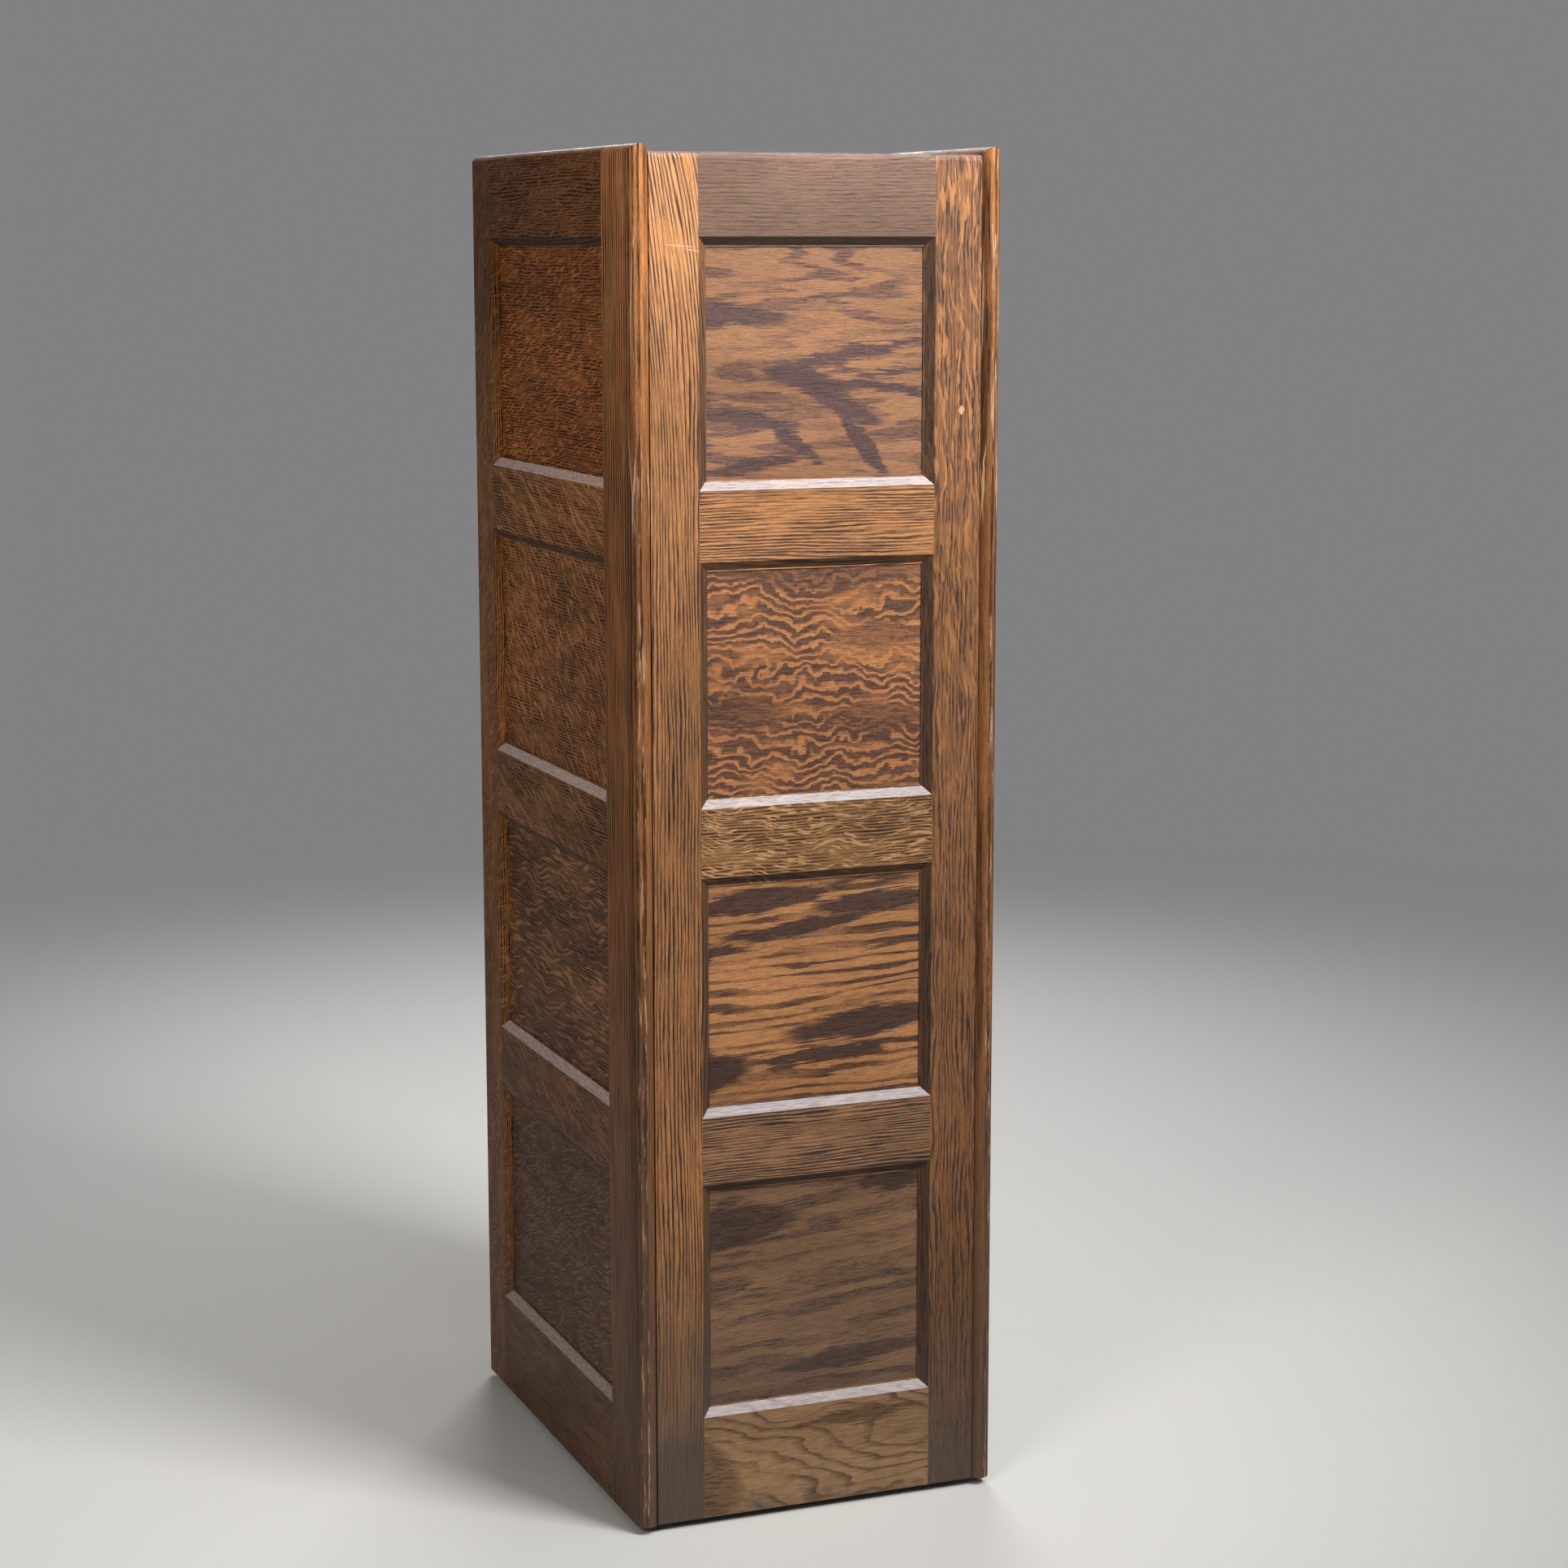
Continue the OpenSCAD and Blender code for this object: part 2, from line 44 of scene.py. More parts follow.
class Shader:
    """A material whose nodes are made by short calls. Lengths in its noises are in millimetres."""

    def __init__(self, name):
        self.material = bpy.data.materials.new(name)
        self.material.use_nodes = True
        self.tree = self.material.node_tree
        self.tree.nodes.clear()
        self.bsdf = self.tree.nodes.new("ShaderNodeBsdfPrincipled")
        output = self.tree.nodes.new("ShaderNodeOutputMaterial")
        self.tree.links.new(self.bsdf.outputs["BSDF"], output.inputs["Surface"])

    def put(self, socket, value):
        if isinstance(value, bpy.types.NodeSocket):
            self.tree.links.new(value, socket)
        elif value is not None:
            socket.default_value = value

    def set(self, **sockets):
        for name, value in sockets.items():
            self.put(self.bsdf.inputs[name.replace("_", " ")], value)

    def math(self, operation, *values):
        node = self.tree.nodes.new("ShaderNodeMath")
        node.operation = operation
        for socket, value in zip(node.inputs, values):
            self.put(socket, value)
        return node.outputs[0]

    def add(self, *values):
        total = values[0]
        for value in values[1:]:
            total = self.math("ADD", total, value)
        return total

    def sub(self, a, b):
        return self.math("SUBTRACT", a, b)

    def mul(self, *values):
        product = values[0]
        for value in values[1:]:
            product = self.math("MULTIPLY", product, value)
        return product

    def size(self, value):
        """The value without its sign."""
        return self.math("ABSOLUTE", value)

    def most(self, a, b):
        """The larger of two values."""
        return self.math("MAXIMUM", a, b)

    def span(self, value, low, high, out_low=0.0, out_high=1.0):
        """Smooth step from out_low to out_high as value goes from low to high."""
        node = self.tree.nodes.new("ShaderNodeMapRange")
        node.interpolation_type = "SMOOTHSTEP"
        for socket, number in zip(node.inputs, (value, low, high, out_low, out_high)):
            self.put(socket, number)
        return node.outputs[0]

    def split(self, vector):
        node = self.tree.nodes.new("ShaderNodeSeparateXYZ")
        self.tree.links.new(vector, node.inputs[0])
        return list(node.outputs)

    def combine(self, x, y, z):
        node = self.tree.nodes.new("ShaderNodeCombineXYZ")
        for socket, value in zip(node.inputs, (x, y, z)):
            self.put(socket, value)
        return node.outputs[0]

    def place(self):
        """The point's x, y and z in the case, in millimetres."""
        coords = self.tree.nodes.new("ShaderNodeTexCoord")
        scale = self.tree.nodes.new("ShaderNodeVectorMath")
        scale.operation = "SCALE"
        scale.inputs["Scale"].default_value = 1 / MM
        self.tree.links.new(coords.outputs["Object"], scale.inputs[0])
        return self.split(scale.outputs[0])

    def facing(self):
        """The x, y and z of the way the surface faces, in the case's axes."""
        coords = self.tree.nodes.new("ShaderNodeTexCoord")
        return self.split(coords.outputs["Normal"])

    def rotate(self, u, v, degrees):
        cos, sin = math.cos(math.radians(degrees)), math.sin(math.radians(degrees))
        return (self.add(self.mul(u, cos), self.mul(v, sin)), self.sub(self.mul(v, cos), self.mul(u, sin)))

    def noise(self, point, sizes, detail=2.0, roughness=0.5, shift=0.0):
        """Noise from 0 to 1, whose lumps measure about sizes along the three coordinates.

        Two noises with different shifts don't fall on the same places."""
        scaled = [self.mul(p, 1 / s) for p, s in zip(point, sizes)]
        if shift:
            scaled[0] = self.add(scaled[0], shift)
        node = self.tree.nodes.new("ShaderNodeTexNoise")
        self.put(node.inputs["Vector"], self.combine(*scaled))
        node.inputs["Scale"].default_value = 1.0
        node.inputs["Detail"].default_value = detail
        node.inputs["Roughness"].default_value = roughness
        return node.outputs["Fac"]

    def wander(self, point, sizes, reach, detail=2.0, shift=0.0):
        """A length that drifts up to about reach either way, in lumps of the given sizes."""
        return self.mul(self.sub(self.noise(point, sizes, detail, shift=shift), 0.5), 4 * reach)

    def mix(self, factor, a, b, mode="MIX"):
        node = self.tree.nodes.new("ShaderNodeMix")
        node.data_type = "RGBA"
        node.blend_type = mode
        self.put(node.inputs["Factor"], factor)
        for socket, value in zip((node.inputs[MIX_A], node.inputs[MIX_B]), (a, b)):
            self.put(socket, (*value, 1.0) if isinstance(value, tuple) else value)
        return node.outputs[MIX_OUT]

    def patches(self, point, places):
        """1 inside any of the lenses, each (u, v, half length, half height, turn), and 0 outside."""
        inside = 0.0
        for centre_u, centre_v, length, height, turn in places:
            u, v = self.rotate(self.sub(point[0], centre_u), self.sub(point[1], centre_v), turn)
            u, v = self.mul(u, 1 / length), self.mul(v, 1 / height)
            far = self.add(self.size(u), self.mul(v, v))
            inside = self.most(inside, self.span(far, *LENS_EDGE, 1.0, 0.0))
        return inside

    def bump(self, height, distance, strength=1.0):
        node = self.tree.nodes.new("ShaderNodeBump")
        node.inputs["Distance"].default_value = distance
        node.inputs["Strength"].default_value = strength
        self.put(node.inputs["Height"], height)
        self.put(self.bsdf.inputs["Normal"], node.outputs[0])


def shade(colour, factor):
    return tuple(min(1.0, factor * channel) for channel in colour)


# ---------------------------------------------------------------- oak
HONEY = (0.26, 0.114, 0.043)
AMBER = (0.23, 0.092, 0.03)
TAN = (0.21, 0.115, 0.055)
UMBER = (0.018, 0.008, 0.004)
SMOKE = (0.021, 0.0145, 0.0155)
VIOLET = (0.032, 0.023, 0.034)
# bare wood: in the scratches, and on the worn places, where it is also a painted highlight
BARE_WOOD_AND_HIGHLIGHT = (0.40, 0.26, 0.17)
# pale colours for the sills: a dusting, and a painted sheen of light over it
GREY_DUST_AND_SHEEN = (0.40, 0.39, 0.42)
WARM_DUST_AND_SHEEN = (0.76, 0.62, 0.59)
# painted shade, put under the rails and in the hollow places of the mouldings
PAINTED_SHADE = (0.017, 0.014, 0.012)
# greyed brown near the floor: soiling, and painted shade
FOOT_DIRT_AND_SHADE = (0.072, 0.058, 0.048)
PALER = (1.7, 1.9, 2.2)

# Each board is cut from its own stretch of the noises, this far along them for each seed.
BETWEEN_BOARDS = 977.0
RELIEF = 0.25 * MM

# The part of a noise's range in which each kind of mark fades in.
PORE_EDGE = (0.53, 0.61)
SPECK_EDGE = (0.56, 0.64)
RAY_EDGE = (0.54, 0.61)
RUB_AND_HIGHLIGHT_EDGE = (0.54, 0.64)

# Heights on the case, in millimetres, between which a look changes.
RAYS_GROW = (300, 1200)
# the heights over which painted light makes a board lighter or darker towards the case's top
PAINTED_TOP_LIGHT_GROWS = (950, 1300)
TOP_SILLS = (1240, 1290)

# Where the soiling and painted shade near the floor start to fade, and how far down its blotches
# carry that.
FLOOR_DIRT_AND_SHADE_FADES_FROM = 60
BLOTCH = 160

# How squarely a surface faces up, from -1 to 1, where the painted shade under the rails and
# the dusting and painted sheen on the sills begin and end, and how squarely it faces along the
# grain where end grain does.
FACING_DOWN = (-0.75, -0.4)
SLOPING_UP = (0.45, 0.7)
LYING_FLAT = (0.85, 0.97)
END_GRAIN = (0.6, 0.95)

# The first leaves out the soiling and painted shade near the floor; the second sets how dark the painted
# shade under the rails is, and the third how much dusting and painted sheen the top sills keep.
CLEAN_AND_UNSHADED = (0.0, 100)
SHADE_UNDER_RAILS = 0.93
TOP_SILL_DUST_AND_SHEEN = 0.25


class Oak(Shader):
    """A stained oak board. Its figure and its scratches follow the board's own axes, and its
    worn places with their painted highlights, its painted light and shade, its soiling near the
    floor and its dusting and painted sheen follow the case's."""

    def __init__(self, name, axes, seed, turn, bow):
        super().__init__(name)
        self.case = dict(zip("xyz", self.place()))
        self.faces = dict(zip("xyz", self.facing()))
        along, across, self.deep = (self.case[axis] for axis in axes)
        if turn:
            along, across = self.rotate(along, across, turn)
        if bow:
            start, sharpness = bow
            past = self.most(self.sub(along, start), 0.0)
            across = self.sub(across, self.mul(past, past, sharpness))
        self.along, self.across = along, across
        self.board = (self.add(along, BETWEEN_BOARDS * seed), across, self.deep)
        self.fibres = self.noise(self.board, (12, 0.7, 0.7), 3.0, 0.7, shift=9.0)
        self.point = list(self.case.values())

    def early_wood(self, ring, band, soft, drift, jag, pith, slant):
        """Up to 1 in the part of each year's growth that takes the stain darkest."""
        reach, length, width = drift
        wandering = self.add(self.wander(self.board, (length, width, width), reach, 3.0),
                             self.wander(self.board, (30, 1.7, 1.7), jag, 2.0))
        beside = self.sub(self.across, pith[0])
        behind = self.add(self.size(self.deep), pith[1])
        radius = self.math("SQRT", self.add(self.mul(beside, beside), self.mul(behind, behind)))
        growth = self.add(radius, wandering, self.mul(self.along, slant))
        year = self.math("FRACT", self.mul(growth, 1 / ring))
        early = self.mul(self.span(year, 0.0, 0.1), self.span(year, band, band + soft, 1.0, 0.0))
        faint = self.noise(self.board, (80, 26, 26), 2.0, shift=6.0)
        return self.mul(early, self.span(faint, 0.36, 0.56, 0.4, 1.0))

    def stained(self, stains):
        """1 in the broad dark patches, whose edges run out along the fibres."""
        ragged = self.add(self.across, self.wander(self.board, (46, 10, 10), 4.0, 3.0),
                          self.wander(self.board, (32, 1.6, 1.6), 4.4, 2.0))
        return self.patches((self.along, ragged), stains)

    def ray_flecks(self, length, width, turn, bend, at_foot):
        """1 in the flecks high on the case and at_foot in the low ones. They run at a turn to the
        grain."""
        u, v = self.rotate(self.board[0], self.across, turn)
        v = self.add(v, self.wander((u, v, self.deep), (70, 60, 60), bend, 1.0, shift=5.0))
        flecks = self.noise((u, v, self.deep), (length, width, 14), 2.0, 0.5, shift=7.0)
        return self.mul(self.span(flecks, *RAY_EDGE), self.span(self.case["z"], *RAYS_GROW, at_foot, 1.0))

    def tint(self, fibre, painted_top_light):
        """How much lighter or darker the wood is, from one fibre and one place to the next, with painted
        light that lightens or darkens it near the case's top.
        """
        tones = self.noise(self.board, (260, 70, 70), 2.0, shift=2.0)
        return self.mul(self.span(self.fibres, 0.2, 0.8, 1 - fibre, 1 + fibre),
                        self.span(tones, 0.3, 0.7, 0.8, 1.16),
                        self.span(self.case["z"], *PAINTED_TOP_LIGHT_GROWS, 1.0, painted_top_light))

    def painted_light(self, amount, shaded_hollows):
        """Painted shade under the rails and in the hollow places of the mouldings."""
        shade_mask = self.span(self.faces["z"], *FACING_DOWN, SHADE_UNDER_RAILS * amount, 0.0)
        for axis, start, end, strength in shaded_hollows:
            place = self.size(self.case[axis])
            shade_mask = self.most(shade_mask, self.mul(self.span(place, start - 0.3, start + 0.3),
                                              self.span(place, end - 0.3, end + 0.3, strength, 0.0)))
        return shade_mask

    def dust_and_sheen(self, amount):
        """The dusting and painted sheen on whatever slopes up. They are thin on what lies flat."""
        up = self.faces["z"]
        return self.mul(self.span(up, *SLOPING_UP), self.span(up, *LYING_FLAT, 1.0, 0.1),
                        self.span(self.fibres, 0.3, 0.62, 0.3, 0.86),
                        self.span(self.case["z"], *TOP_SILLS, amount, TOP_SILL_DUST_AND_SHEEN * amount))

    def dirt_and_shade_near_floor(self, strength, reach):
        """The soiling and painted shade near the floor, with a blotched upper edge."""
        blotch = self.noise(self.point, (35, 35, 60), 3.0, 0.6)
        height = self.add(self.case["z"], self.mul(blotch, BLOTCH))
        return self.span(height, FLOOR_DIRT_AND_SHADE_FADES_FROM, reach, strength, 0.0)

    def rubbed_and_highlit(self, wear_and_highlight):
        """1 where the stain is worn away, which is also where a highlight is painted."""
        rubbed_and_highlit = self.span(self.noise(self.point, (3, 3, 45), 4.0, 0.7, shift=4.0), *RUB_AND_HIGHLIGHT_EDGE)
        unsteady = self.wander(self.point, (60, 60, 90), 1.1)
        for axis, start, end in wear_and_highlight:
            place = self.add(self.size(self.case[axis]), unsteady)
            rubbed_and_highlit = self.mul(rubbed_and_highlit, self.span(place, start - 0.6, start),
                              self.span(place, end, end + 0.6, 1.0, 0.0))
        return rubbed_and_highlit

    def scratched(self, marks):
        """Up to 0.9 along the scratches, and less in the hollows between the fibres."""
        unsteady = self.add(self.across, self.wander(self.board, (30, 30, 30), 1.0))
        return self.mul(self.patches((self.along, unsteady), marks),
                        self.span(self.fibres, 0.3, 0.5, 0.3, 0.9))


def oak(name, axes, seed, light=HONEY, dark=UMBER, ring=14, band=0.4, band_ink=0.75, soft=0.25,
        drift=(6, 200, 40), jag=1.5, pith=(600, 60), slant=0.0, turn=0.0, pore=(24, 1.5), pore_ink=0.55,
        speck=0.5, fibre=0.35, bow=None, stains=(), stain_ink=0.9, ray=None, fleck=None, shaded_hollows=(),
        wear_and_highlight=(), marks=(), painted_top_light=1.0, painted_light=1.0, dust_and_sheen=GREY_DUST_AND_SHEEN, floor_dirt_and_shade=(0.5, 420), gloss=0.16,
        rough=(0.4, 0.6)):
    """Stained oak. axes gives the case's axes along the grain, across the face and into the
    board; lengths are in millimetres and turn is in degrees.

    ring and band   the width of a year's growth, and the part of it that takes the stain darkest
    soft            how gradually that part ends
    drift           how far the growth wanders, and over what length and width
    jag             how far its edges wander from one fibre to the next
    pith and slant  the log's centre beside and behind the face, and how fast it crosses the grain
    pore and speck  the length and width of the dark pore lines, and the strength of short ones
    fibre           how much the fibres differ in tone
    bow             the place along the grain from which it bends aside, and how sharply
    stains          (along, across, half length, half height, turn) of each broad dark patch
    ray             the length, width, turn, bend and strength of the light ray flecks, and how
                    much of that strength is left at the case's foot
    fleck           the colour of the ray flecks, where it isn't just a paler wood
    hollows         (axis, from, to, strength) of each stretch darkened with painted shade, as mouldings are
    wear            (axis, from, to) stretches within all of which the stain is worn away and a
                highlight is painted
    marks           (along, across, half length, half height, turn) of each bare scratch
    glow            how much lighter the board is at the case's top: painted light
    dirt and dust   how strong the painted shade under the rails and the dusting and painted
                sheen on the sills are, and the colour of that dusting and sheen
    grime           the soiling and painted shade near the floor: its strength, and the height by
                which it has gone
    gloss and rough the specular level, and the roughness of sound wood and of open pores"""
    s = Oak(name, axes, seed, turn, bow)
    early = s.early_wood(ring, band, soft, drift, jag, pith, slant)
    shaded = s.mul(early, band_ink)
    if stains:
        stained = s.stained(stains)
        shaded = s.most(shaded, s.mul(stained, stain_ink))
        early = s.most(early, stained)

    pores = s.span(s.noise(s.board, (*pore, pore[1]), 1.0, shift=3.0), *PORE_EDGE)
    specks = s.span(s.noise(s.board, (5, 0.7, 0.7), 1.0, shift=8.0), *SPECK_EDGE)
    ink = s.add(0.4, s.mul(early, 0.6))
    colour = s.mix(shaded, light, dark)
    colour = s.mix(s.mul(pores, ink, pore_ink), colour, shade(dark, 0.7))
    colour = s.mix(s.mul(specks, ink, speck * pore_ink), colour, shade(dark, 0.5))
    height = s.add(s.mul(pores, -0.5), s.mul(specks, -0.4), s.mul(early, -0.15), s.mul(s.fibres, 0.25))
    if ray:
        *shape, ray_ink, at_foot = ray
        rays = s.ray_flecks(*shape, at_foot)
        fleck = fleck or tuple(channel * gain for channel, gain in zip(light, PALER))
        colour = s.mix(s.mul(rays, ray_ink), colour, fleck)
        height = s.add(height, s.mul(rays, 0.1))

    # the tint carries the painted light near the case's top as well as the wood's own tones
    tint = s.tint(fibre, painted_top_light)
    colour = s.mix(1.0, colour, s.combine(tint, tint, tint), "MULTIPLY")
    end_grain = s.span(s.size(s.faces[axes[0]]), *END_GRAIN, 0.0, 0.8)
    colour = s.mix(end_grain, colour, shade(light, 0.32))
    # painted shade under the rails and in the hollow places
    colour = s.mix(s.painted_light(painted_light, shaded_hollows), colour, PAINTED_SHADE)
    # a dusting on the sills, with a painted sheen
    colour = s.mix(s.dust_and_sheen(painted_light), colour, dust_and_sheen)
    # soiling and painted shade, darker towards the floor
    colour = s.mix(s.dirt_and_shade_near_floor(*floor_dirt_and_shade), colour, FOOT_DIRT_AND_SHADE)
    # worn places along the noses and arrises, with a painted highlight
    if wear_and_highlight:
        rubbed_and_highlit = s.rubbed_and_highlit(wear_and_highlight)
        colour = s.mix(s.mul(rubbed_and_highlit, 0.65), colour, BARE_WOOD_AND_HIGHLIGHT)
        height = s.add(height, s.mul(rubbed_and_highlit, -0.5))
    if marks:
        scratched = s.scratched(marks)
        colour = s.mix(scratched, colour, BARE_WOOD_AND_HIGHLIGHT)
        height = s.add(height, s.mul(scratched, -0.6))

    s.set(Base_Color=colour, Roughness=s.span(s.add(pores, early), 0.0, 2.0, *rough))
    s.set(Specular_IOR_Level=gloss)
    s.bump(height, RELIEF, 0.5)
    return s.material


# ---------------------------------------------------------------- metal and glass
def metal(name, colour, roughness):
    """Metal that has been handled for a century: dull in patches and finely brushed."""
    s = Shader(name)
    point = s.place()
    patina = s.noise(point, (6, 6, 6), 4.0, 0.6)
    brushed = s.noise(point, (0.25, 6, 6), 2.0, shift=3.0)
    dull = s.mix(s.span(patina, 0.42, 0.62), shade(colour, 0.45), colour)
    rough = s.add(s.span(patina, 0.35, 0.65, roughness + 0.25, roughness),
                  s.span(brushed, 0.3, 0.7, 0.0, 0.08))
    s.set(Base_Color=dull, Metallic=1.0, Roughness=rough)
    s.bump(s.add(patina, s.mul(brushed, 0.3)), 0.04 * MM, 0.4)
    return s.material


def clear_glass():
    s = Shader("clear_glass")
    s.set(Base_Color=(0.93, 0.97, 0.95, 1.0), Roughness=0.02, Transmission_Weight=1.0, IOR=1.5)
    return s.material


brass = metal("aged_brass", (0.62, 0.42, 0.16), 0.3)
steel = metal("dull_steel", (0.42, 0.42, 0.43), 0.4)
glass = clear_glass()


# ---------------------------------------------------------------- materials on the CAD nodes
def dress(node, *materials, pick=None):
    """Gives a node its materials; pick(centre) says which one a face takes."""
    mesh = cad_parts[node].data
    mesh.materials.clear()
    for material in materials:
        mesh.materials.append(material)
    for face in mesh.polygons:
        face.material_index = pick(face.center) if pick else 0


def tier_of(centre):
    """The tier that a face is in, from 0 at the floor."""
    return min(TIERS - 1, max(0, int((centre.z - TIER_FOOT) / TIER_PITCH)))


def rail_of(centre):
    """The middle rail that a face is on, from 0 for the lowest."""
    return min(TIERS - 2, max(0, int((centre.z - RAIL_FOOT) / TIER_PITCH)))


FAR_PITH = (1900, 0)
RIFT = dict(ring=3.7, band=0.26, soft=0.35, band_ink=0.92, drift=(4, 260, 26), jag=0.4, pith=(1700, 0),
            pore=(44, 1.0), pore_ink=0.95, speck=0.5)
FINE = {**RIFT, "ring": 3.0, "band_ink": 0.85, "pore": (26, 1.0)}
BROAD = {**FINE, "band": 0.4}
FAINT = {**FINE, "band_ink": 0.35, "pore_ink": 0.45, "pore": (16, 1.0)}
FLECKED = {**RIFT, "ring": 4.2, "band_ink": 0.8, "drift": (5, 110, 14), "pore": (16, 1.0), "pore_ink": 0.8}
STRIPED = {**RIFT, "ring": 5, "band": 0.34, "band_ink": 0.72, "drift": (2, 300, 30), "pith": (1500, 800)}
QUARTERED = dict(ring=3.0, band=0.36, band_ink=0.9, drift=(3, 140, 30), jag=0.3, pith=FAR_PITH,
                 pore=(20, 1.0), pore_ink=0.85, speck=0.4)
# the sides' sills take a warm dusting and painted sheen, and their soiling and painted shade near the floor
# reach higher
SIDE = dict(dark=(0.012, 0.006, 0.003), dust_and_sheen=WARM_DUST_AND_SHEEN, floor_dirt_and_shade=(0.4, 700), gloss=0.05, **QUARTERED)
# the doors take less painted shade under their rails and less dusting and painted sheen, and no soiling or
# painted shade near the floor
DOOR = dict(light=(0.25, 0.108, 0.04), painted_light=0.3, floor_dirt_and_shade=CLEAN_AND_UNSHADED, gloss=0.04, rough=(0.7, 0.85), **RIFT)


def dress_back():
    """The back's four panels and three middle rails are numbered from the floor up."""
    smoky = oak("back_panel_1", "xzy", 4.2, light=(0.185, 0.1, 0.054), dark=SMOKE, ring=27, band=0.45,
                band_ink=0.45, soft=0.25, drift=(22, 200, 34), jag=1.6, pith=FAR_PITH, turn=-3,
                pore=(18, 1.0), pore_ink=0.7, speck=0.9, stain_ink=0.72,
                stains=[(84, 300, 90, 24, -2), (-96, 322, 36, 12, 0), (-50, 150, 90, 12, -3)])
    streaked = oak("back_panel_2", "xzy", 1.3, light=(0.312, 0.143, 0.056), dark=SMOKE, ring=12, band=0.36,
                   band_ink=0.78, soft=0.1, drift=(9, 190, 22), jag=1.2, pith=FAR_PITH, turn=-2,
                   pore=(18, 1.0), pore_ink=0.65, speck=1.0, stain_ink=0.87,
                   stains=[(40, 619, 90, 13, -2), (2, 588, 80, 9, -3), (-84, 606, 70, 13, -2),
                           (104, 458, 56, 23, 0), (-76, 488, 95, 16, -3), (-24, 460, 80, 8, -1),
                           (104, 572, 60, 8, -2)])
    wavy = oak("back_panel_3", "xzy", 2.1, light=(0.272, 0.113, 0.041), dark=SMOKE, ring=10, band=0.5,
               band_ink=0.78, soft=0.34, drift=(16, 42, 46), jag=1.5, pith=FAR_PITH, slant=0.03,
               pore=(16, 1.0), pore_ink=0.65, speck=0.9, stain_ink=0.5,
               stains=[(-20, 940, 140, 30, 0), (-70, 868, 60, 16, 0), (74, 800, 50, 20, 0),
                       (-64, 788, 60, 16, 0)])
    # painted light: this panel is darker near the case's top
    hooked = oak("back_panel_4", "xzy", 3.4, light=(0.235, 0.113, 0.054), painted_top_light=0.7, dark=VIOLET, ring=17,
                 band=0.42, band_ink=0.5, soft=0.14, drift=(20, 200, 30), jag=2.2, pith=(1120, 900),
                 slant=0.1, pore=(16, 1.0), pore_ink=0.6, speck=0.9, stain_ink=0.76,
                 stains=[(108, 1174, 90, 13, 2), (-30, 1136, 90, 8, -10), (6, 1112, 56, 12, 12),
                         (-30, 1086, 44, 11, 24), (76, 1078, 70, 9, 8), (20, 1052, 34, 8, 34),
                         (64, 1034, 60, 6, -8), (-50, 1050, 40, 10, 50), (-76, 1104, 60, 6, 6),
                         (-84, 1120, 50, 4, -6)])
    dress("back_panels", smoky, streaked, wavy, hooked, pick=tier_of)

    dress("back_mid_rails",
          oak("back_rail_1", "xzy", 8, light=(0.228, 0.12, 0.06), dark=SMOKE, **BROAD),
          oak("back_rail_2", "xzy", 9, light=(0.18, 0.09, 0.036), ray=(18, 1.9, 4, 14, 0.9, 1.0),
              **QUARTERED),
          oak("back_rail_3", "xzy", 10, light=(0.325, 0.146, 0.052), dark=SMOKE, **BROAD),
          pick=rail_of)
    dress("back_top_rail", oak("back_rail_top", "xzy", 11, light=(0.128, 0.072, 0.048), dark=SMOKE, **FAINT))
    dress("back_bottom_rail",
          oak("back_rail_bottom", "xzy", 12, light=(0.23, 0.135, 0.07), ring=17, band=0.07, soft=0.45,
              band_ink=0.6, drift=(26, 130, 56), jag=0.3, pith=FAR_PITH, slant=0.3, pore=(18, 1.0),
              floor_dirt_and_shade=(0.5, 120), stain_ink=0.5, stains=[(130, 34, 50, 60, 8), (-40, 92, 80, 8, -3)]))

    # painted shade along the stiles' mouldings
    moulding = [("x", 110.1, 119.5, 0.66)]
    dress("back_left_stile",
          oak("back_stile_left", "zxy", 13, light=(0.164, 0.074, 0.031), dark=SMOKE, shaded_hollows=moulding,
              ray=(26, 3.4, 4, 6, 0.7, 0.0), fleck=(0.3, 0.13, 0.046), stain_ink=0.3,
              stains=[(10, -140, 80, 90, 0)], marks=[(1082, -148, 4.5, 3.2, 0)], floor_dirt_and_shade=(0.7, 320),
              **FLECKED))
    dress("back_right_stile",
          oak("back_stile_right", "zxy", 14, light=(0.264, 0.118, 0.043), dark=SMOKE, shaded_hollows=moulding,
              # painted light: this stile is lighter near the case's top
              painted_top_light=1.55, bow=(1000, 0.0003), stain_ink=0.6, stains=[(10, 143, 90, 90, 0)],
              marks=[(1237, 121, 16, 0.8, 86), (1233, 110, 9, 0.7, 80)], floor_dirt_and_shade=(0.85, 440), **RIFT))


